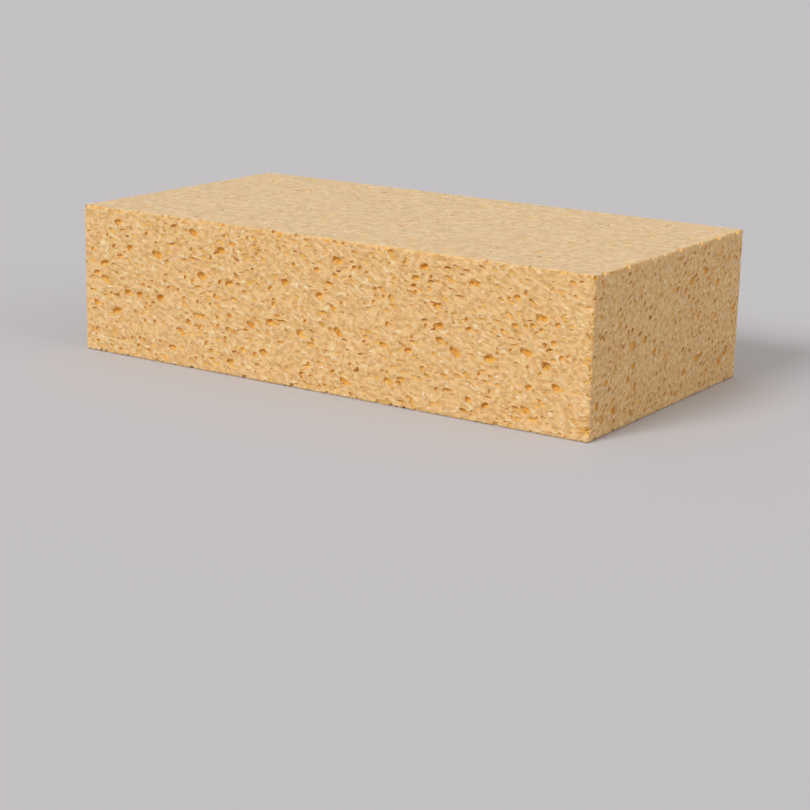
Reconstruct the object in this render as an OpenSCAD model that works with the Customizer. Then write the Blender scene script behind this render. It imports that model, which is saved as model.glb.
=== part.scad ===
// Cellulose cleaning sponge: one sawn block of foam with open pores in all six faces.
// It lies on a large face. The origin is the middle of that face, with the length along X.

/* [Block] */
// Length of the block, along X
block_l = 195; // [120:1:260]
// Width of the block, along Y
block_w = 104; // [60:1:160]
// Thickness of the block, along Z
block_t = 50; // [25:1:80]

/* [Pores in the long sides] */
// Pores in each square centimetre of a long side
side_density = 1.5; // [0.4:0.1:2]
// Radius of the smallest pores in the long sides
side_r_min = 0.7; // [0.5:0.1:1.2]
// Radius of the largest pores in the long sides
side_r_max = 1.4; // [1.3:0.1:2.6]
// Direction in which the pores of the long sides are drawn out, in degrees from level
side_grain = -15; // [-90:5:90]

/* [Pores in the ends] */
// Pores in each square centimetre of an end
end_density = 1.3; // [0.4:0.1:2]
// Radius of the smallest pores in the ends
end_r_min = 0.7; // [0.5:0.1:1.1]
// Radius of the largest pores in the ends
end_r_max = 1.3; // [1.2:0.1:2.4]
// Direction in which the pores of the ends are drawn out, in degrees from level
end_grain = 30; // [-90:5:90]

/* [Pores in the top and bottom] */
// Pores in each square centimetre of the top or bottom
flat_density = 0.4; // [0.2:0.1:0.8]
// Radius of the smallest pores in the top and bottom
flat_r_min = 0.6; // [0.5:0.1:0.9]
// Radius of the largest pores in the top and bottom
flat_r_max = 1.1; // [1:0.1:2]
// Direction in which the pores of the top and bottom are drawn out, in degrees from the length
flat_grain = 25; // [-90:5:90]

/* [Pores that open on an edge] */
// Mean distance between two such pores
notch_pitch = 13; // [8:0.5:40]
// Radius of the smallest ones
notch_r_min = 0.7; // [0.5:0.1:1.1]
// Radius of the largest ones
notch_r_max = 1.4; // [1.2:0.1:2.2]

/* [Shape and scatter of the pores] */
// Thickness of foam left between two pores of a face
wall = 0.5; // [0.3:0.1:1.5]
// Depth of a pore's centre below its face, in radii
sink = 0.2; // [0.1:0.05:0.6]
// Pores with a larger radius than this have a second chamber beside the first
lobe_above = 0.9; // [0.8:0.1:3]
// Distance between the two chambers' centres, in radii
lobe_shift = 1.2; // [0.5:0.1:1.3]
// Radius of the second chamber, in radii of the first
lobe_size = 0.8; // [0.6:0.1:0.9]
// How much the small pores outnumber the large: 1 gives all sizes an equal share
small_bias = 2; // [1:0.5:5]
// Most that a pore's direction turns away from the grain of its face, in degrees
grain_spread = 30; // [0:5:90]
// Most that a notch strays from its even place on the edge, in pitches
notch_stray = 0.3; // [0:0.05:0.3]
// Number that picks one scatter of the pores
pattern = 3; // [1:1:50]

/* [Hidden] */
$fn = 24;
foam_colour = [0.87, 0.71, 0.48];
// The pores of a face stay out of this band along its edges, which is left to the notches
rim = notch_r_max + wall;
// Places that are tried for each pore that is wanted
tries = 4;
// Random draws set aside for each face and edge
draws = 10;
// Each face and edge has a number of its own, which picks its draws, and all are below this one
numbers = 100;
top_face = 1;
bottom_face = 2;
long_sides = 3;
ends = 5;
long_edges = 10;
cross_edges = 20;
upright_edges = 30;

// First random draw of a face or edge
function seed(number) = (numbers * pattern + number) * draws;

// Radius of the circle round a pore that holds its second chamber too
function reach(r) = r > lobe_above ? r * (1 + lobe_shift / 2) : r;

// Places tried on a face of a by b, each as [x, y, radius, direction]
function tried_pores(a, b, count, r_min, r_max, grain, first) =
    let (
        x = rands(-1, 1, count, first),
        y = rands(-1, 1, count, first + 1),
        share = rands(0, 1, count, first + 2),
        turn = rands(-grain_spread, grain_spread, count, first + 3)
    )
    [
        for (i = [0 : count - 1])
            let (r = r_min + (r_max - r_min) * pow(share[i], small_bias))
            let (margin = rim + reach(r))
            [x[i] * (a / 2 - margin), y[i] * (b / 2 - margin), r, grain + turn[i]]
    ];

// Whether a pore leaves a wall of foam to each of the others
function clear(pore, others) =
    len([
        for (other = others)
            if (norm([pore.x - other.x, pore.y - other.y]) < reach(pore.z) + reach(other.z) + wall)
                other
    ]) == 0;

// The first pores of a list that are clear of each other, up to the count that is wanted
function clear_pores(list, wanted, i = 0, kept = []) =
    i == len(list) || len(kept) == wanted
        ? kept
        : clear_pores(list, wanted, i + 1, clear(list[i], kept) ? concat(kept, [list[i]]) : kept);

// One pore in the face z = 0, drawn out along X where it has a second chamber
module pore(r) {
    lobed = r > lobe_above;
    shift = lobed ? lobe_shift * r / 2 : 0;
    translate([-shift, 0, -sink * r])
        sphere(r = r);
    if (lobed)
        translate([shift, 0, -sink * lobe_size * r])
            sphere(r = lobe_size * r);
}

// The pores of a face of a by b, which lies in z = 0 about the origin with the foam below it
module face_pores(a, b, density, r_min, r_max, grain, number) {
    wanted = round(density * a * b / 100);
    list = tried_pores(a, b, tries * wanted, r_min, r_max, grain, seed(number));
    for (p = clear_pores(list, wanted))
        translate([p.x, p.y, 0])
            rotate([0, 0, p[3]])
                pore(p.z);
}

// The pores that open on an edge, which lies along X about the origin
module edge_notches(length, number) {
    count = floor(length / notch_pitch);
    pitch = length / count;
    stray = rands(-notch_stray, notch_stray, count, seed(number));
    radius = rands(notch_r_min, notch_r_max, count, seed(number) + 1);
    for (i = [0 : count - 1])
        translate([(i + 0.5 + stray[i]) * pitch - length / 2, 0, 0])
            sphere(r = radius[i]);
}

module top_and_bottom_pores() {
    translate([0, 0, block_t])
        face_pores(block_l, block_w, flat_density, flat_r_min, flat_r_max, flat_grain, top_face);
    rotate([180, 0, 0])
        face_pores(block_l, block_w, flat_density, flat_r_min, flat_r_max, flat_grain, bottom_face);
}

// The long side and the end on one half, and the other half's after half a turn
module side_and_end_pores() {
    for (half = [0, 1])
        rotate([0, 0, 180 * half]) {
            translate([0, -block_w / 2, block_t / 2])
                rotate([90, 0, 0])
                    face_pores(
                        block_l, block_t, side_density, side_r_min, side_r_max, side_grain, long_sides + half
                    );
            translate([block_l / 2, 0, block_t / 2])
                rotate([90, 0, 90])
                    face_pores(block_w, block_t, end_density, end_r_min, end_r_max, end_grain, ends + half);
        }
}

// Three edges of each quarter of the block: along the length, the width and the thickness
module all_edge_notches() {
    for (half = [0, 1], side = [0, 1])
        rotate([0, 0, 180 * half]) {
            translate([0, -block_w / 2, side * block_t])
                edge_notches(block_l, long_edges + 2 * half + side);
            translate([block_l / 2, 0, side * block_t])
                rotate([0, 0, 90])
                    edge_notches(block_w, cross_edges + 2 * half + side);
            translate([block_l / 2, (side - 0.5) * block_w, block_t / 2])
                rotate([0, 90, 0])
                    edge_notches(block_t, upright_edges + 2 * half + side);
        }
}

module sponge() {
    color(foam_colour)
        difference() {
            translate([-block_l / 2, -block_w / 2, 0])
                cube([block_l, block_w, block_t]);
            top_and_bottom_pores();
            side_and_end_pores();
            all_edge_notches();
        }
}

sponge();
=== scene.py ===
# %% [markdown]
# # A cellulose cleaning sponge
# The real object is one block of cellulose foam, cast in a big loaf and sawn square. Its whole look
# comes from the foam: open cells of all sizes, pale ridges between them, and a warm amber colour
# down inside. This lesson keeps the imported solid's size and its large pores, and builds the rest
# of the foam round them.

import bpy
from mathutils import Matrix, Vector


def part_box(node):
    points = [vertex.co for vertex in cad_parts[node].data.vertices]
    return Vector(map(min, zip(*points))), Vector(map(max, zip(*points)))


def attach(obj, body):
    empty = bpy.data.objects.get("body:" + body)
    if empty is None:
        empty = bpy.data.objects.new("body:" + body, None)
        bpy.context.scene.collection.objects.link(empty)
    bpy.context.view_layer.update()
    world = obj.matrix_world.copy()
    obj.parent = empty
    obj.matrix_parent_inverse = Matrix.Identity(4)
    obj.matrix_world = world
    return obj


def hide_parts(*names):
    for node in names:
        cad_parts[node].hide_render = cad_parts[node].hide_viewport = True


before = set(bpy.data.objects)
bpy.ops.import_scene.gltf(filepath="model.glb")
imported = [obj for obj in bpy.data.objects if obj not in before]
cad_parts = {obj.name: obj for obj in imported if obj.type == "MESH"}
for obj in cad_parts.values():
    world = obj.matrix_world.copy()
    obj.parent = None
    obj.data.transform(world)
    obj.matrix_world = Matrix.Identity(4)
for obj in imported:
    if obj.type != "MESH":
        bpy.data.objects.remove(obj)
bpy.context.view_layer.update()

# %% Tools for the lesson
import math

import bmesh
import bpy
import numpy as np
from mathutils import Matrix, Vector

MM = 0.001
scene = bpy.context.scene

# %% [markdown]
# ## Helpers for node trees
# A node tree is easier to read when a node, its settings and its links stand in one call. So one
# helper makes a node, sets its properties, and fills each input with a plain value or a link.
# The others give the result of the commonest nodes straight away.


# %% A node in one call
def node(tree, kind, inputs=(), **settings):
    """Adds a node. An input is named by its label or number, and takes a value or a socket."""
    made = tree.nodes.new(kind)
    for name, value in settings.items():
        setattr(made, name, value)
    for key, value in dict(inputs).items():
        if isinstance(value, bpy.types.NodeSocket):
            tree.links.new(value, made.inputs[key])
        else:
            made.inputs[key].default_value = value
    return made


# %% Numbers and vectors
def maths(tree, operation, *values):
    """The result of one Math node."""
    return node(tree, "ShaderNodeMath", dict(enumerate(values)), operation=operation).outputs[0]


def vectors(tree, operation, *values):
    """The result of one Vector Math node that gives a vector."""
    return node(tree, "ShaderNodeVectorMath", dict(enumerate(values)), operation=operation).outputs[0]


def scaled(tree, vector, factor):
    """A vector times a number, either of which may be a socket."""
    return node(tree, "ShaderNodeVectorMath", {0: vector, "Scale": factor}, operation="SCALE").outputs[0]


def between(tree, share, low, high):
    """The number that lies this share of the way from one number to another."""
    return node(tree, "ShaderNodeMix", {0: share, 2: low, 3: high}).outputs[0]


def step(tree, value, low, high, low_result=0.0, high_result=1.0):
    """A smooth step from one result to another, between two values."""
    limits = {0: value, 1: low, 2: high, 3: low_result, 4: high_result}
    return node(tree, "ShaderNodeMapRange", limits, interpolation_type="SMOOTHSTEP").outputs[0]


def soft_noise(tree, place, scale, detail, roughness=0.5):
    """Soft noise about one half, with patches about 1 / scale wide."""
    values = {"Vector": place, "Scale": scale, "Detail": detail, "Roughness": roughness}
    return node(tree, "ShaderNodeTexNoise", values).outputs[0]


# %% A group with named sockets
GEOMETRY, FLOAT, INTEGER = "NodeSocketGeometry", "NodeSocketFloat", "NodeSocketInt"


def new_group(name, inputs, output):
    """A geometry node group, its inputs by name, and the socket that takes its result."""
    group = bpy.data.node_groups.new(name, "GeometryNodeTree")
    for label, (socket_type, value) in inputs.items():
        socket = group.interface.new_socket(label, in_out="INPUT", socket_type=socket_type)
        if value is not None:
            socket.default_value = value
    group.interface.new_socket(output, in_out="OUTPUT", socket_type=GEOMETRY)
    entry = group.nodes.new("NodeGroupInput")
    return group, entry.outputs, group.nodes.new("NodeGroupOutput").inputs[0]


# %% [markdown]
# ## Read the large pores from the solid
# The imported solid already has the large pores, as clean balls cut out of a block. The finished
# sponge keeps each of them in its place and at its size, but with a rougher form. So the lesson
# measures them: it drops the six sawn faces, and what is left falls apart into islands, one for
# each pore. The Mesh Island node numbers them far faster than a Python loop could.

# %% Depth below the sawn faces
block_low, block_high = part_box("sponge")
block_centre = (block_low + block_high) / 2
block_half = (block_high - block_low) / 2
ON_FACE = 0.002 * MM


def depths_in_block(tree, place):
    """The distances from a place inwards from the sides or ends, and from the two large faces."""
    from_centre = vectors(tree, "ABSOLUTE", vectors(tree, "SUBTRACT", place, block_centre))
    gaps = node(tree, "ShaderNodeSeparateXYZ", {0: vectors(tree, "SUBTRACT", block_half, from_centre)})
    return maths(tree, "MINIMUM", gaps.outputs[0], gaps.outputs[1]), gaps.outputs[2]


def in_sawn_face(tree):
    """Whether a point or a face of the mesh lies in one of the six sawn faces."""
    place = node(tree, "GeometryNodeInputPosition").outputs[0]
    return maths(tree, "LESS_THAN", maths(tree, "MINIMUM", *depths_in_block(tree, place)), ON_FACE)


print("block in mm:", [round(2 * h / MM, 1) for h in block_half])


# %% A tree that leaves only the pore walls, numbered pore by pore
def pore_wall_tree():
    tree, inputs, result = new_group("pore walls", {"Solid": (GEOMETRY, None)}, "Walls")
    loose = {"Geometry": inputs["Solid"], "Distance": ON_FACE / 2}
    merged = node(tree, "GeometryNodeMergeByDistance", loose).outputs[0]
    sawn = {0: merged, 1: in_sawn_face(tree)}
    walls = node(tree, "GeometryNodeDeleteGeometry", sawn, domain="FACE").outputs[0]
    island = node(tree, "GeometryNodeInputMeshIsland").outputs[0]
    numbers = {"Geometry": walls, "Name": "pore", "Value": island}
    numbered = node(tree, "GeometryNodeStoreNamedAttribute", numbers, data_type="INT", domain="POINT")
    tree.links.new(numbered.outputs[0], result)
    return tree


# %% Run a tree and keep its result as a plain mesh
def result_of(tree, mesh, **inputs):
    """The plain mesh that a geometry tree makes from a mesh."""
    owner = bpy.data.objects.new("work_piece", mesh)
    scene.collection.objects.link(owner)
    modifier = owner.modifiers.new("foam", "NODES")
    modifier.node_group = tree
    for item in tree.interface.items_tree:
        if item.in_out == "INPUT" and item.name in inputs:
            modifier[item.identifier] = inputs[item.name]
    ready = owner.evaluated_get(bpy.context.evaluated_depsgraph_get())
    made = bpy.data.meshes.new_from_object(ready)
    owner.modifiers.remove(modifier)
    bpy.data.objects.remove(owner)
    return made


pore_walls = result_of(pore_wall_tree(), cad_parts["sponge"].data.copy())
print("pore walls of the packed solid:", len(pore_walls.polygons), "faces")


# %% [markdown]
# ## From islands to ellipsoids
# A pore in a face is described by its mouth and its depth. The spread of the points on its rim
# gives the mouth's two half-widths and its direction. A ball with a mouth of radius m and a depth
# d has the radius (m² + d²) / 2d, which also tells how far its middle lies below the face. A pore
# that opens on an edge has its rim in two faces, so there a ball is fitted to all its points.


# %% The ellipsoid of one pore
def ball_through(points):
    """Middle, half-lengths and rotation of the ball that fits the points best."""
    known = np.c_[2 * points, np.ones(len(points))]
    found = np.linalg.lstsq(known, (points**2).sum(1), rcond=None)[0]
    radius = math.sqrt(found[3] + found[:3] @ found[:3])
    return found[:3], (radius,) * 3, Matrix.Identity(3).to_quaternion()


def ellipsoid_through(points, rim, axis, side):
    """Middle, half-lengths and rotation of the ellipsoid whose mouth is this rim in one face."""
    across = [k for k in range(3) if k != axis]
    flat = rim[:, across]
    middle = (flat.max(0) + flat.min(0)) / 2
    spread, directions = np.linalg.eigh(np.cov((flat - middle).T))
    narrow, wide = np.sqrt(2 * spread)
    mouth = math.sqrt(narrow * wide)
    depth = np.abs(points[:, axis] - rim[0, axis]).max()
    radius = (mouth**2 + depth**2) / (2 * depth)
    centre = np.zeros(3)
    centre[across] = middle
    centre[axis] = rim[0, axis] - side * (depth - radius)
    outward, along = Vector((0, 0, 0)), Vector((0, 0, 0))
    outward[axis] = side
    for k, value in zip(across, directions[:, 1]):
        along[k] = value
    turn = Matrix((along, outward.cross(along), outward)).transposed().to_quaternion()
    return centre, (wide * radius / mouth, narrow * radius / mouth, radius), turn


# %% Measure every pore
FEWEST_RIM_POINTS = 4


def faces_touched(points):
    """The sawn faces that some points lie in, each as axis, side and which points."""
    found = []
    for side, corner in ((-1, block_low), (1, block_high)):
        for axis in range(3):
            in_face = np.abs(points[:, axis] - corner[axis]) < ON_FACE
            if in_face.sum() >= FEWEST_RIM_POINTS:
                found.append((axis, side, in_face))
    return found


def measure_pores(mesh):
    """The ellipsoid of each numbered island of a mesh of pore walls."""
    points = np.empty(len(mesh.vertices) * 3)
    mesh.vertices.foreach_get("co", points)
    points = points.reshape(-1, 3)
    numbers = np.empty(len(points), int)
    mesh.attributes["pore"].data.foreach_get("value", numbers)
    order = np.argsort(numbers, kind="stable")
    starts = np.unique(numbers[order], return_index=True)[1][1:]
    rows = []
    for members in np.split(order, starts):
        own = points[members]
        touched = faces_touched(own)
        if len(touched) == 1:
            axis, side, in_face = touched[0]
            rows.append(ellipsoid_through(own, own[in_face], axis, side))
        else:
            rows.append(ball_through(own))
    return rows


large_pores = measure_pores(pore_walls)
longest = [half_lengths[0] / MM for _, half_lengths, _ in large_pores]
print(f"{len(large_pores)} large pores, half-length {min(longest):.2f} to {max(longest):.2f} mm")


# %% [markdown]
# ## Keep the measured pores as points
# Geometry Nodes read what they need from attributes, so the list becomes a mesh of loose points
# that carry a size and a rotation each.


# %% Points that carry the large pores
def pore_points(rows):
    """An object whose points are the pores' middles, with a size and a turn on each."""
    mesh = bpy.data.meshes.new("large_pores")
    mesh.from_pydata([tuple(centre) for centre, _, _ in rows], [], [])
    size = mesh.attributes.new("size", "FLOAT_VECTOR", "POINT")
    size.data.foreach_set("vector", np.array([row[1] for row in rows]).ravel())
    turn = mesh.attributes.new("turn", "QUATERNION", "POINT")
    turn.data.foreach_set("value", np.array([tuple(row[2]) for row in rows]).ravel())
    holder = bpy.data.objects.new("large_pores", mesh)
    scene.collection.objects.link(holder)
    return holder


pore_holder = pore_points(large_pores)
print("points:", len(pore_holder.data.vertices))


# %% [markdown]
# ## One foam cell
# A gas bubble in setting cellulose is never a clean ball: its neighbours press on it and its wall
# wrinkles. A ball of few faces, pushed in and out by noise, gives that form cheaply. Each variant
# reads another slice of the noise, and a handful of variants, turned and stretched at random, is
# enough to hide the repeats.

# %% A lumpy cell of radius 1
LUMP_SCALE = 0.95
LUMP_DETAIL = 1.5


def lumpy_cell_tree():
    sizes = {"Subdivisions": (INTEGER, 2), "Variant": (FLOAT, 0.0), "Lumps": (FLOAT, 0.8)}
    tree, inputs, result = new_group("lumpy cell", sizes, "Cell")
    ball = node(tree, "GeometryNodeMeshIcoSphere", {"Radius": 1.0, "Subdivisions": inputs["Subdivisions"]})
    place = node(tree, "GeometryNodeInputPosition").outputs[0]
    slice_of_noise = {"Vector": place, "W": inputs["Variant"], "Scale": LUMP_SCALE, "Detail": LUMP_DETAIL}
    noise = node(tree, "ShaderNodeTexNoise", slice_of_noise, noise_dimensions="4D").outputs[0]
    # the noise lies about one half, so twice its distance from there runs from -1 to 1
    push = maths(tree, "MULTIPLY", maths(tree, "SUBTRACT", noise, 0.5), inputs["Lumps"])
    grown = scaled(tree, place, maths(tree, "MULTIPLY_ADD", push, 2.0, 1.0))
    moved = node(tree, "GeometryNodeSetPosition", {"Geometry": ball.outputs[0], "Position": grown})
    single = node(tree, "GeometryNodeGeometryToInstance", {0: moved.outputs[0]})
    tree.links.new(single.outputs[0], result)
    return tree


# %% Variants to pick from
VARIANTS = 7
NOISE_SLICE = 3.7

lumpy_cell = lumpy_cell_tree()


def cell_variants(tree, subdivisions, lumps):
    """All variants of the lumpy cell, with the faces and lumps that one size of pore needs."""
    joined = node(tree, "GeometryNodeJoinGeometry")
    for variant in range(VARIANTS):
        cell = node(tree, "GeometryNodeGroup", node_tree=lumpy_cell)
        cell.inputs["Subdivisions"].default_value = subdivisions
        cell.inputs["Variant"].default_value = NOISE_SLICE * variant
        cell.inputs["Lumps"].default_value = lumps
        tree.links.new(cell.outputs[0], joined.inputs[0])
    return joined.outputs[0]


print("cell variants:", VARIANTS)

# %% [markdown]
# ## Random numbers and placed cells
# All scatters of cells need the same steps: draw a random value for each point, pick a radius that
# is mostly small, and put a random variant of the cell on each point. Each draw has a seed of its
# own, a fixed step away from the last, so that no two draws go together.

# %% A random value, a radius and a turn
SEED_STEP = 10.0
SMALL_BIAS = 2.0


def random(tree, low, high, seed, data_type="FLOAT"):
    """A random value for each point, between two values."""
    made = node(tree, "FunctionNodeRandomValue", {"Seed": seed}, data_type=data_type)
    first_input, result = {"FLOAT_VECTOR": (0, 0), "FLOAT": (2, 1), "INT": (4, 2)}[data_type]
    made.inputs[first_input].default_value = low
    made.inputs[first_input + 1].default_value = high
    return made.outputs[result]


def seeds_after(tree, seed, steps):
    """One seed for each step number."""
    return [maths(tree, "ADD", seed, SEED_STEP * k) for k in steps]


def mostly_small(tree, smallest, largest, seed):
    """A random radius, more often small than large."""
    share = maths(tree, "POWER", random(tree, 0.0, 1.0, seed), SMALL_BIAS)
    return node(tree, "ShaderNodeMapRange", {0: share, 3: smallest, 4: largest}).outputs[0]


def rotation(tree, angles):
    """A rotation by three angles, which may be a socket."""
    return node(tree, "FunctionNodeEulerToRotation", {0: angles}).outputs[0]


# %% A cell on each point
def cells_on(tree, points, cell, turn, size, seed, chosen=True):
    """A random variant of the cell on each chosen point."""
    placed = {
        "Points": points,
        "Selection": chosen,
        "Instance": cell,
        "Pick Instance": True,
        "Instance Index": random(tree, 0, VARIANTS - 1, seed, "INT"),
        "Rotation": turn,
        "Scale": size,
    }
    return node(tree, "GeometryNodeInstanceOnPoints", placed).outputs[0]


# %% [markdown]
# ## The grain of the foam
# Foam that sets under a lid has flattened cells, and they lie in layers. A saw cut shows them as
# short dashes: nearly level on a long side, rising on an end, aslant on the top. Three directions
# say all of that: along the layers on a long side, straight through the layers, and the one that is
# left. The scattered cells and the finish both use them, so that their dashes agree.

# %% Directions of the grain
SIDE_SLOPE = math.radians(-16)
END_SLOPE = math.radians(30)

along = Vector((math.cos(SIDE_SLOPE), 0.0, math.sin(SIDE_SLOPE)))
through = along.cross(Vector((0.0, math.cos(END_SLOPE), math.sin(END_SLOPE)))).normalized()
across = through.cross(along)
grain_turn = Matrix((along, across, through)).transposed().to_euler()
print("slope of the layers on the top:", round(math.degrees(math.atan2(through.x, -through.y))), "degrees")

# %% [markdown]
# ## Cells over the sawn faces
# A saw cut goes through cells at every height. So the middle of a cell lies a little below the face
# or above it by chance, and the same cell leaves a deep hole here and a shallow dent there. Poisson
# spacing keeps the cells apart, and a slow noise takes some away again, so that they gather in
# patches. The two large faces have far fewer open cells than the sides and the ends, and those are
# all cut near their middle.

# %% Sizes of the scattered cells
SCATTER_INPUTS = {
    "Block": (GEOMETRY, None),
    "Cell": (GEOMETRY, None),
    "Spacing": (FLOAT, 2.15 * MM),
    "Smallest": (FLOAT, 0.45 * MM),
    "Largest": (FLOAT, 1.15 * MM),
    "Share on sides": (FLOAT, 0.62),
    "Share on large faces": (FLOAT, 0.14),
    "Seed": (INTEGER, 21),
}
MOST_PER_SQUARE_METRE = 4.0e6
PATCHES_PER_METRE = 70.0
PATCH_DETAIL = 1.0
PATCH_LEVELS = (0.35, 0.62)
PATCH_SHARES = (0.5, 1.4)
# heights of the middles over the face, in radii
LIFT_ON_SIDES = (-0.3, 0.65)
LIFT_ON_LARGE_FACES = 0.1
# the most that a cell turns away from the grain about each axis, in radians
CELL_STRAY = 0.35
# least and most half-lengths in radii: along the layers, across, and through them
CELL_FORMS = ((1.1, 1.0, 0.5), (2.3, 1.7, 0.85))


# %% A tree that scatters one size of cell
def scatter_tree():
    tree, inputs, result = new_group("scattered cells", SCATTER_INPUTS, "Cells")
    drop_seed, size_seed, lift_seed, stray_seed, form_seed, variant_seed = seeds_after(
        tree, inputs["Seed"], range(1, 7)
    )
    spread = {
        "Mesh": inputs["Block"],
        "Distance Min": inputs["Spacing"],
        "Density Max": MOST_PER_SQUARE_METRE,
        "Seed": inputs["Seed"],
    }
    points = node(tree, "GeometryNodeDistributePointsOnFaces", spread, distribute_method="POISSON")
    outward = points.outputs["Normal"]
    upright = node(tree, "ShaderNodeSeparateXYZ", {0: vectors(tree, "ABSOLUTE", outward)}).outputs[2]

    place = node(tree, "GeometryNodeInputPosition").outputs[0]
    patches = soft_noise(tree, place, PATCHES_PER_METRE, PATCH_DETAIL)
    share = between(tree, upright, inputs["Share on sides"], inputs["Share on large faces"])
    wanted = maths(tree, "MULTIPLY", share, step(tree, patches, *PATCH_LEVELS, *PATCH_SHARES))
    dropped = maths(tree, "GREATER_THAN", random(tree, 0.0, 1.0, drop_seed), wanted)
    kept = node(tree, "GeometryNodeDeleteGeometry", {0: points.outputs[0], 1: dropped}, domain="POINT")

    radius = mostly_small(tree, inputs["Smallest"], inputs["Largest"], size_seed)
    lift = between(tree, upright, random(tree, *LIFT_ON_SIDES, lift_seed), LIFT_ON_LARGE_FACES)
    offset = scaled(tree, outward, maths(tree, "MULTIPLY", radius, lift))
    lifted = node(tree, "GeometryNodeSetPosition", {"Geometry": kept.outputs[0], "Offset": offset})

    angles = random(tree, (-CELL_STRAY,) * 3, (CELL_STRAY,) * 3, stray_seed, "FLOAT_VECTOR")
    turns = {0: rotation(tree, grain_turn), 1: rotation(tree, angles)}
    turn = node(tree, "FunctionNodeRotateRotation", turns).outputs[0]
    size = scaled(tree, random(tree, *CELL_FORMS, form_seed, "FLOAT_VECTOR"), radius)
    cells = cells_on(tree, lifted.outputs[0], inputs["Cell"], turn, size, variant_seed)
    tree.links.new(cells, result)
    return tree


scattered_cells = scatter_tree()
print("inputs of the scatter:", ", ".join(SCATTER_INPUTS))

# %% [markdown]
# ## Cells along the edges
# The saw also cuts cells right on an edge. They leave the small notches that make a sponge's edge
# look torn instead of ruled. The block's twelve edges become curves, and cells are set along them
# at short, uneven steps.

# %% Sizes of the nicks
EDGE_INPUTS = {
    "Block": (GEOMETRY, None),
    "Cell": (GEOMETRY, None),
    "Pitch": (FLOAT, 2.4 * MM),
    "Stray": (FLOAT, 0.7 * MM),
    "Smallest": (FLOAT, 0.3 * MM),
    "Largest": (FLOAT, 1.0 * MM),
    "Seed": (INTEGER, 1),
}
# least and most half-lengths, in radii
NICK_FORMS = ((0.8, 0.7, 0.7), (1.6, 1.1, 1.1))


# %% A tree that nicks the edges
def edge_tree():
    tree, inputs, result = new_group("edge cells", EDGE_INPUTS, "Cells")
    stray_seed, size_seed, turn_seed, form_seed, variant_seed = seeds_after(
        tree, inputs["Seed"], range(5)
    )
    edges = node(tree, "GeometryNodeMeshToCurve", {"Mesh": inputs["Block"]})
    spaced = {"Curve": edges.outputs[0], "Length": inputs["Pitch"]}
    points = node(tree, "GeometryNodeCurveToPoints", spaced, mode="LENGTH")
    aside = random(tree, (-1.0,) * 3, (1.0,) * 3, stray_seed, "FLOAT_VECTOR")
    strayed = {"Geometry": points.outputs[0], "Offset": scaled(tree, aside, inputs["Stray"])}
    moved = node(tree, "GeometryNodeSetPosition", strayed)

    radius = mostly_small(tree, inputs["Smallest"], inputs["Largest"], size_seed)
    turn = rotation(tree, random(tree, (0.0,) * 3, (math.tau,) * 3, turn_seed, "FLOAT_VECTOR"))
    size = scaled(tree, random(tree, *NICK_FORMS, form_seed, "FLOAT_VECTOR"), radius)
    cells = cells_on(tree, moved.outputs[0], inputs["Cell"], turn, size, variant_seed)
    tree.links.new(cells, result)
    return tree


edge_cells = edge_tree()
print("inputs of the edge cells:", ", ".join(EDGE_INPUTS))

# %% [markdown]
# ## Cut all the cells out of the block
# A Boolean with thousands of bodies sounds slow, but the Manifold solver does it in seconds and
# always returns a closed mesh. A voxel remesh would be the other way. It would need voxels of a
# fifth of a millimetre to keep the small cells, and would round off the sawn edges. The faces
# are spent where they show: the largest pores get cells of 320 faces, the other measured pores 80,
# and the thousands of small cells 20 each. The cut can leave loose crumbs and shut bubbles, so only
# the largest island stays. Last, the mesh is shaded smooth with a sharp line round each flat face,
# or the pores would bleed their shading into it.


# %% Nothing loose, and nothing shut in
def one_piece(tree, geometry):
    """The mesh without loose crumbs of foam and without bubbles that are closed all round."""
    counted = {"Value": 1.0, "Group ID": node(tree, "GeometryNodeInputMeshIsland").outputs[0]}
    points = node(tree, "GeometryNodeAccumulateField", counted).outputs["Total"]
    island_sizes = {"Geometry": geometry, "Attribute": points}
    most = node(tree, "GeometryNodeAttributeStatistic", island_sizes).outputs["Max"]
    crumbs = {0: geometry, 1: maths(tree, "LESS_THAN", points, most)}
    return node(tree, "GeometryNodeDeleteGeometry", crumbs, domain="POINT").outputs[0]


# %% Crisp rims round the flat faces
RIM_ANGLE = math.radians(40)


def crisp_rims(tree, geometry):
    """Smooth shading all over, but with a sharp edge where a flat face ends and at each steep fold."""
    flat = {0: in_sawn_face(tree)}
    flat_face = node(tree, "GeometryNodeFieldOnDomain", flat, data_type="FLOAT", domain="FACE").outputs[0]
    # an edge takes the mean of its two faces, so a rim has one half
    rim = maths(tree, "COMPARE", flat_face, 0.5, 0.25)
    fold = node(tree, "GeometryNodeInputMeshEdgeAngle").outputs[0]
    sharp = maths(tree, "MAXIMUM", rim, maths(tree, "GREATER_THAN", fold, RIM_ANGLE))
    smooth = node(tree, "GeometryNodeSetShadeSmooth", {0: geometry, "Shade Smooth": True}, domain="FACE")
    creased = {0: smooth.outputs[0], "Selection": sharp, "Shade Smooth": False}
    return node(tree, "GeometryNodeSetShadeSmooth", creased, domain="EDGE").outputs[0]


# %% The tree that makes the sponge
BIG_PORE = 1.45 * MM
# subdivisions and lumps of the cells for the big pores, the other measured ones and the small cells
BIG_CELL = (3, 0.75)
MEDIUM_CELL = (2, 0.75)
SMALL_CELL = (1, 0.9)
SPONGE_INPUTS = {
    "Rounded block": (GEOMETRY, None),
    "Large pores": ("NodeSocketObject", None),
    "Foam": ("NodeSocketMaterial", None),
    "Seed": (INTEGER, 5),
}


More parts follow.
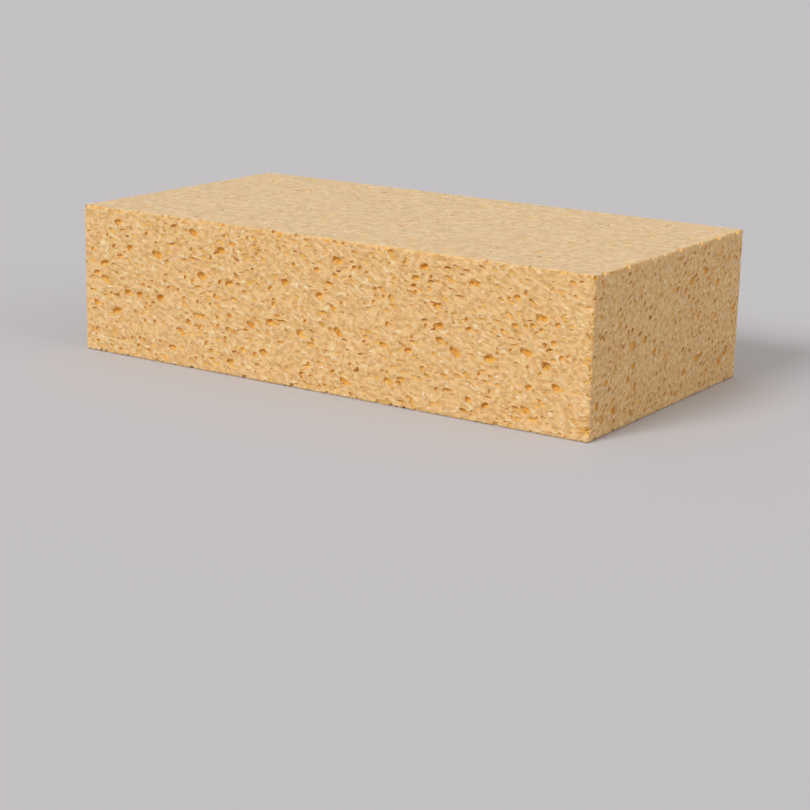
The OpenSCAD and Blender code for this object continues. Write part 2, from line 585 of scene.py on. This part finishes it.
def foam_tree():
    tree, inputs, result = new_group("sawn foam", SPONGE_INPUTS, "Sponge")
    uncut = {"Mesh 1": inputs["Rounded block"]}
    cut = node(tree, "GeometryNodeMeshBoolean", uncut, operation="DIFFERENCE", solver="MANIFOLD")

    holder = node(tree, "GeometryNodeObjectInfo", {"Object": inputs["Large pores"]})
    points = holder.outputs["Geometry"]
    sizes = node(tree, "GeometryNodeInputNamedAttribute", {"Name": "size"}, data_type="FLOAT_VECTOR")
    turns = node(tree, "GeometryNodeInputNamedAttribute", {"Name": "turn"}, data_type="QUATERNION")
    size, turn = sizes.outputs[0], turns.outputs[0]
    length = node(tree, "ShaderNodeSeparateXYZ", {0: size}).outputs[0]
    big = maths(tree, "GREATER_THAN", length, BIG_PORE)
    for form, chosen in ((BIG_CELL, big), (MEDIUM_CELL, maths(tree, "SUBTRACT", 1.0, big))):
        pores = cells_on(tree, points, cell_variants(tree, *form), turn, size, inputs["Seed"], chosen)
        tree.links.new(pores, cut.inputs["Mesh 2"])

    cube = node(tree, "GeometryNodeMeshCube", {"Size": tuple(2 * block_half)})
    centred = {0: cube.outputs[0], "Translation": tuple(block_centre)}
    sharp_block = node(tree, "GeometryNodeTransform", centred).outputs[0]
    small = cell_variants(tree, *SMALL_CELL)
    for scatter in (scattered_cells, edge_cells):
        cells = node(tree, "GeometryNodeGroup", {"Block": sharp_block, "Cell": small}, node_tree=scatter)
        tree.links.new(cells.outputs[0], cut.inputs["Mesh 2"])

    real = node(tree, "GeometryNodeRealizeInstances", {0: cut.outputs[0]}).outputs[0]
    whole = crisp_rims(tree, one_piece(tree, real))
    dressed = node(tree, "GeometryNodeSetMaterial", {"Geometry": whole, "Material": inputs["Foam"]})
    tree.links.new(dressed.outputs[0], result)
    return tree


sawn_foam = foam_tree()
print("nodes in the tree of the sponge:", len(sawn_foam.nodes))

# %% [markdown]
# ## The finish of the foam
# Dry cellulose foam is pale where the saw has cut it and glows amber in its pores, because light
# goes through the thin walls many times and loses its blue on the way. The finish paints that light
# into the colour, from the cut face inwards. The face is a mottled cream, darker tan in the hollows of
# its relief as painted shade, with pale flecks of torn fibre that are partly painted highlights, and
# small pits whose gold is painted glow and shade. The two large faces are half way to a paler beige,
# with fewer pits; the paler beige is painted sheen of a face seen at a flat angle. Below the cut the
# colour turns to amber, the painted glow, and to a deep gold at the bottom of the pores, painted
# shade. The same patterns also give the relief that is too fine for the mesh. They all read Object
# coordinates, so they run through the block and meet at its edges, as in the real foam.

# %% Colours of the foam
# tan is the foam's mottle and also painted shade in the hollows of the wrinkled relief
TAN_AND_HOLLOW_SHADE = (0.66, 0.385, 0.14, 1.0)
FOAM_CREAM = (0.83, 0.545, 0.24, 1.0)
# paler mottled beige of the two large faces: painted sheen of a face seen at a flat angle
SHEEN_BEIGE_DARK = (0.66, 0.46, 0.235, 1.0)
SHEEN_BEIGE_LIGHT = (0.89, 0.66, 0.385, 1.0)
# pale fibre; in the flecks it is also painted highlight where raised fibres catch the light
PALE_FIBRE_AND_HIGHLIGHT = (0.95, 0.75, 0.46, 1.0)
# amber and deep gold: painted glow of light through the pore walls, and painted shade at the pores'
# bottoms
AMBER_PAINTED_GLOW = (0.90, 0.55, 0.14, 1.0)
# gold of the small pits: painted glow and shade in hollows too small for the mesh
PIT_GOLD_PAINTED_GLOW = (0.86, 0.46, 0.09, 1.0)
DEEP_GOLD_PAINTED_SHADE = (0.81, 0.43, 0.07, 1.0)


def blended(tree, factor, under, over):
    """One colour over another by a factor."""
    return node(tree, "ShaderNodeMix", {0: factor, 6: under, 7: over}, data_type="RGBA").outputs[2]


# %% Places in the foam, in millimetres, with the layers drawn out
# stretch of a pattern along the layers, across them and through them
LAYER_STRETCH = (1.6, 1.35, 1.0)
# how far the layers waver from straight, in millimetres
WAVER = 2.6
WAVES_PER_MM = 0.16
WAVE_DETAIL = 1.5


def foam_places(tree):
    """Object coordinates in millimetres, in which a round pattern comes out as flat as the cells."""
    place = scaled(tree, node(tree, "ShaderNodeTexCoord").outputs["Object"], 1 / MM)
    stretch = {"Vector": place, "Rotation": grain_turn, "Scale": LAYER_STRETCH}
    drawn = node(tree, "ShaderNodeMapping", stretch, vector_type="TEXTURE").outputs[0]
    waves = {"Vector": place, "Scale": WAVES_PER_MM, "Detail": WAVE_DETAIL}
    noise = node(tree, "ShaderNodeTexNoise", waves).outputs["Color"]
    shift = scaled(tree, vectors(tree, "SUBTRACT", noise, (0.5, 0.5, 0.5)), WAVER)
    return vectors(tree, "ADD", drawn, shift)


# %% Pits that are too small for the mesh
PIT_SIZES = {"pitch": 1.8, "smallest": 0.3, "largest": 0.85, "share": 0.55}
# where a pit ends and where it is full, in radii
PIT_SLOPE = (1.05, 0.45)


def pits(tree, place, pitch, smallest, largest, share):
    """A mask of open pits, with their pitch and radii in millimetres."""
    cells = node(tree, "ShaderNodeTexVoronoi", {"Vector": place, "Scale": 1 / pitch})
    chance = node(tree, "ShaderNodeSeparateColor", {0: cells.outputs["Color"]})
    radius = step(tree, chance.outputs[0], 0.0, 1.0, smallest / pitch, largest / pitch)
    hollow = step(tree, maths(tree, "DIVIDE", cells.outputs["Distance"], radius), *PIT_SLOPE)
    is_open = maths(tree, "LESS_THAN", chance.outputs[1], share)
    return maths(tree, "MULTIPLY", hollow, is_open)


# %% The patterns of the finish
# sizes in millimetres, and the detail of each noise
WRINKLE_SIZE = 1.2
WRINKLE_DETAIL = 2.5
WRINKLE_ROUGHNESS = 0.45
MOTTLE_SIZE = 2.2
MOTTLE_DETAIL = 2.0
FUZZ_PER_MM = 3.2
FUZZ_DETAIL = 2.0
FLECK_SIZE = 1.3
FLECK_DETAIL = 2.0
FLECK_LEVELS = (0.55, 0.72)
# scale of the flecks on the sides and ends, and on the large faces, where they are wider
FLECK_SCALES = (1.0, 0.7)
# the flecks read the noise somewhere else, or they would follow the wrinkles
ELSEWHERE = (31.0, 17.0, 53.0)


def by_face(tree, on_large_face, on_others, on_large):
    """One value on the sides and ends, and another on the two large faces."""
    return step(tree, on_large_face, 0.0, 1.0, on_others, on_large)


def foam_patterns(tree, on_large_face):
    """The patterns of the foam by name, each between 0 and 1."""
    place = foam_places(tree)
    fleck_scale = by_face(tree, on_large_face, *FLECK_SCALES)
    fleck_place = scaled(tree, vectors(tree, "ADD", place, ELSEWHERE), fleck_scale)
    fleck_noise = soft_noise(tree, fleck_place, 1 / FLECK_SIZE, FLECK_DETAIL)
    return {
        "wrinkles": soft_noise(tree, place, 1 / WRINKLE_SIZE, WRINKLE_DETAIL, WRINKLE_ROUGHNESS),
        "mottle": soft_noise(tree, place, 1 / MOTTLE_SIZE, MOTTLE_DETAIL),
        "fuzz": soft_noise(tree, place, FUZZ_PER_MM, FUZZ_DETAIL),
        "flecks": step(tree, fleck_noise, *FLECK_LEVELS),
        "pits": pits(tree, place, **PIT_SIZES),
    }


# %% The colour from the cut face inwards
CREAM_LEVELS = (0.33, 0.64)
SHEEN_BEIGE_LEVELS = (0.38, 0.62)
PAINTED_SHEEN_SHARE = 0.5
FUZZ_LEVELS = (0.5, 0.7)
FUZZ_SHARE = 0.3
# shares on the sides and ends, and on the large faces
FLECK_SHARES = (0.8, 0.6)
PIT_GLOW_SHARES = (0.85, 0.2)
# depths in millimetres between which the painted glow and the painted shade come in
GLOW_DEPTHS = (0.03, 0.7)
GLOW_SHARE = 0.95
SHADE_DEPTHS = (0.4, 1.5)


def foam_colour(tree, patterns, depth, on_large_face):
    """The colour of the foam, laid on from the mottled cream to the deep gold, with painted glow, shade,
    highlights and sheen among its coats.
    """
    # tan in the low parts of the wrinkles, cream on their ridges: mottle, with painted shade in the
    # hollows
    colour = blended(tree, step(tree, patterns["wrinkles"], *CREAM_LEVELS), TAN_AND_HOLLOW_SHADE, FOAM_CREAM)
    beige = blended(tree, step(tree, patterns["mottle"], *SHEEN_BEIGE_LEVELS), SHEEN_BEIGE_DARK, SHEEN_BEIGE_LIGHT)
    fleck_share = by_face(tree, on_large_face, *FLECK_SHARES)
    pit_share = by_face(tree, on_large_face, *PIT_GLOW_SHARES)
    coats = (
        # painted sheen: the large faces half way to a paler beige
        (maths(tree, "MULTIPLY", on_large_face, PAINTED_SHEEN_SHARE), beige),
        (step(tree, patterns["fuzz"], *FUZZ_LEVELS, 0.0, FUZZ_SHARE), PALE_FIBRE_AND_HIGHLIGHT),
        # pale flecks of torn fibre, partly painted highlight
        (maths(tree, "MULTIPLY", patterns["flecks"], fleck_share), PALE_FIBRE_AND_HIGHLIGHT),
        # painted glow and shade: gold in the small pits
        (maths(tree, "MULTIPLY", patterns["pits"], pit_share), PIT_GOLD_PAINTED_GLOW),
        # painted glow down in the pores, then painted shade at their bottoms
        (step(tree, depth, *GLOW_DEPTHS, 0.0, GLOW_SHARE), AMBER_PAINTED_GLOW),
        (step(tree, depth, *SHADE_DEPTHS), DEEP_GOLD_PAINTED_SHADE),
    )
    for share, coat in coats:
        colour = blended(tree, share, colour, coat)
    return colour


# %% The relief that is too fine for the mesh
# how far each pattern stands out, in millimetres
RELIEF = {"wrinkles": 0.62, "mottle": 0.35, "fuzz": 0.05, "flecks": 0.12, "pits": -0.3}


def foam_relief(tree, patterns):
    """The normal of the foam, bent by all its patterns together."""
    height = 0.0
    for name, rise in RELIEF.items():
        height = maths(tree, "MULTIPLY_ADD", patterns[name], rise, height)
    return node(tree, "ShaderNodeBump", {"Strength": 1.0, "Distance": MM, "Height": height}).outputs[0]


# %% The foam material
# dull and dry, with a little light under the surface and a soft bloom from its fibres
FOAM_SURFACE = {
    "Roughness": 0.7,
    "Specular IOR Level": 0.3,
    "Subsurface Weight": 0.3,
    "Subsurface Radius": (1.0, 0.6, 0.3),
    "Subsurface Scale": 1.2 * MM,
    "Sheen Weight": 0.2,
    "Sheen Roughness": 0.5,
}


def new_material(name, surface):
    """A material with plain values on its shader's own sockets, its tree and its shader's inputs."""
    made = bpy.data.materials.new(name)
    made.use_nodes = True
    sockets = made.node_tree.nodes["Principled BSDF"].inputs
    for label, value in surface.items():
        sockets[label].default_value = value
    return made, made.node_tree, sockets


def foam_material():
    made, tree, sockets = new_material("cellulose_foam", FOAM_SURFACE)
    place = node(tree, "ShaderNodeTexCoord").outputs["Object"]
    from_side, from_large_face = depths_in_block(tree, place)
    depth = maths(tree, "DIVIDE", maths(tree, "MINIMUM", from_side, from_large_face), MM)
    on_large_face = maths(tree, "LESS_THAN", from_large_face, from_side)
    patterns = foam_patterns(tree, on_large_face)
    tree.links.new(foam_colour(tree, patterns, depth, on_large_face), sockets["Base Color"])
    tree.links.new(foam_relief(tree, patterns), sockets["Normal"])
    return made


foam = foam_material()
print("nodes in the foam material:", len(foam.node_tree.nodes))

# %% [markdown]
# ## Make the sponge
# A saw leaves square edges, but foam can't hold a razor edge: its outermost ridges wear and sag a
# little. So the block's edges are rounded before the cells are cut. A plain bevel does that while
# the block still has only twelve edges. After the cut it would have thousands of short ones.

# %% The block with its edges a little rounded
EDGE_RADIUS = 0.7 * MM
EDGE_STEPS = 3


def rounded_box(name, low, high):
    """A closed box between two corners, with its edges a little rounded."""
    made = bmesh.new()
    bmesh.ops.create_cube(made, size=1.0)
    bmesh.ops.scale(made, vec=high - low, verts=made.verts)
    bmesh.ops.translate(made, vec=(low + high) / 2, verts=made.verts)
    bmesh.ops.bevel(
        made, geom=made.edges[:], offset=EDGE_RADIUS, segments=EDGE_STEPS, profile=0.5, affect="EDGES"
    )
    mesh = bpy.data.meshes.new(name)
    made.to_mesh(mesh)
    made.free()
    return mesh


block_mesh = rounded_box("block", block_low, block_high)
block_mesh.materials.append(foam)
print("rounded block:", len(block_mesh.polygons), "faces")

# %% Cut it
sponge_mesh = result_of(sawn_foam, block_mesh, **{"Large pores": pore_holder, "Foam": foam})
bpy.data.objects.remove(pore_holder)
foam_block = bpy.data.objects.new("foam_block", sponge_mesh)
scene.collection.objects.link(foam_block)
triangles = sum(len(face.vertices) - 2 for face in sponge_mesh.polygons)
print("sponge:", len(sponge_mesh.vertices), "points,", triangles, "triangles")

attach(foam_block, "root")
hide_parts("sponge")

# %% [markdown]
# ## Floor and light
# The picture is a plain studio one. The floor is a pale grey sheet that runs far back. A sun lamp
# with a wide angle stands in for a large soft box in front, a little to the left, and the shadow
# falls softly behind. The end on the right lies in open shade, so a faint warm lamp from that side
# lifts it, as light thrown back by a wall would. The world gives the even fill, warmer at the
# sides than overhead.

# %% Floor
FLOOR_HALF = 40.0
FLOOR_LEVEL = -0.05 * MM
FLOOR_COLOUR = (0.59, 0.59, 0.635, 1.0)
FLOOR_SURFACE = {"Base Color": FLOOR_COLOUR, "Roughness": 0.9, "Specular IOR Level": 0.2}

corners = [(FLOOR_HALF * x, FLOOR_HALF * y) for x, y in ((-1, -1), (1, -1), (1, 1), (-1, 1))]
floor_mesh = bpy.data.meshes.new("floor")
floor_mesh.from_pydata([(x, y, FLOOR_LEVEL) for x, y in corners], [], [(0, 1, 2, 3)])
floor_mesh.materials.append(new_material("pale_floor", FLOOR_SURFACE)[0])
floor = bpy.data.objects.new("floor", floor_mesh)
scene.collection.objects.link(floor)
print("floor:", 2 * FLOOR_HALF, "m square")

# %% Lamps
KEY_FROM = Vector((-0.2, -0.75, 0.55))
KEY_STRENGTH = 1.83
KEY_ANGLE = math.radians(22)
BOUNCE_FROM = Vector((0.85, 0.0, 0.5))
BOUNCE_STRENGTH = 0.42
BOUNCE_ANGLE = math.radians(35)
BOUNCE_COLOUR = (1.0, 0.86, 0.68)


def soft_lamp(name, toward, strength, angle, colour=(1.0, 1.0, 1.0)):
    """A sun lamp that stands in for a large soft box, by the direction that it shines from."""
    lamp = bpy.data.lights.new(name, "SUN")
    lamp.energy = strength
    lamp.angle = angle
    lamp.color = colour
    holder = bpy.data.objects.new(name, lamp)
    holder.rotation_euler = toward.to_track_quat("Z", "Y").to_euler()
    scene.collection.objects.link(holder)


soft_lamp("soft_key", KEY_FROM, KEY_STRENGTH, KEY_ANGLE)
soft_lamp("warm_bounce", BOUNCE_FROM, BOUNCE_STRENGTH, BOUNCE_ANGLE, BOUNCE_COLOUR)
print("lamps:", ", ".join(lamp.name for lamp in bpy.data.lights))

# %% Fill light from all round
FILL_LEVEL = 0.55
FILL_OVERHEAD = 0.98
FILL_AT_SIDES = 0.81
OVERHEAD_COLOUR = (1.0, 0.97, 0.92, 1.0)
SIDE_COLOUR = (1.0, 0.92, 0.82, 1.0)
# heights on the sky, from -1 to 1, between which the sides turn into overhead
SKY_HEIGHTS = (-0.1, 0.9)


def studio_world():
    """Fill light on the object, and the floor's colour where a ray looks past the floor."""
    made = bpy.data.worlds.new("studio")
    made.use_nodes = True
    tree = made.node_tree
    fill = tree.nodes["Background"]
    direction = node(tree, "ShaderNodeTexCoord").outputs["Generated"]
    sky_height = node(tree, "ShaderNodeSeparateXYZ", {0: direction}).outputs[2]
    overhead = step(tree, sky_height, *SKY_HEIGHTS)
    tree.links.new(blended(tree, overhead, SIDE_COLOUR, OVERHEAD_COLOUR), fill.inputs["Color"])
    brightness = between(tree, overhead, FILL_AT_SIDES, FILL_OVERHEAD)
    tree.links.new(maths(tree, "MULTIPLY", brightness, FILL_LEVEL), fill.inputs["Strength"])
    seen = node(tree, "ShaderNodeBackground", {"Color": FLOOR_COLOUR, "Strength": 1.0})
    rays = node(tree, "ShaderNodeLightPath")
    looked_at = maths(tree, "MAXIMUM", rays.outputs["Is Camera Ray"], rays.outputs["Is Glossy Ray"])
    looked_at = maths(tree, "MAXIMUM", looked_at, rays.outputs["Is Transmission Ray"])
    mixed = node(tree, "ShaderNodeMixShader", {0: looked_at, 1: fill.outputs[0], 2: seen.outputs[0]})
    tree.links.new(mixed.outputs[0], tree.nodes["World Output"].inputs["Surface"])
    return made


scene.world = studio_world()
print(f"fill: {FILL_LEVEL * FILL_AT_SIDES:.2f} at the sides, {FILL_LEVEL * FILL_OVERHEAD:.2f} overhead")

# %% [markdown]
# ## Camera
# The camera stands where the photograph's did, by its direction and its distance, so the
# perspective is the same. It is aimed a little below the sponge's middle, and a long lens brings
# the sponge close. The slight roll gives the lean that the photograph's own aim gives.

# %% Camera
VIEW_AZIMUTH = math.radians(32.8)
VIEW_ELEVATION = math.radians(11.4)
VIEW_DISTANCE = 0.668
VIEW_ROLL = math.radians(1.4)
AIM_BELOW = 0.04
LENS_MM = 88
SENSOR_MM = 36

towards_camera = Vector(
    (
        math.sin(VIEW_AZIMUTH) * math.cos(VIEW_ELEVATION),
        -math.cos(VIEW_AZIMUTH) * math.cos(VIEW_ELEVATION),
        math.sin(VIEW_ELEVATION),
    )
)
camera_data = bpy.data.cameras.new("camera")
camera_data.lens = LENS_MM
camera_data.sensor_width = SENSOR_MM
camera = bpy.data.objects.new("camera", camera_data)
scene.collection.objects.link(camera)
camera.location = block_centre + towards_camera * VIEW_DISTANCE
look = camera.location - (block_centre - Vector((0, 0, AIM_BELOW)))
upright = look.to_track_quat("Z", "Y").to_matrix()
camera.rotation_euler = (upright @ Matrix.Rotation(VIEW_ROLL, 3, "Z")).to_euler()
scene.camera = camera
scene.view_settings.view_transform = "Standard"
print("camera at:", tuple(round(c, 3) for c in camera.location), "metres")
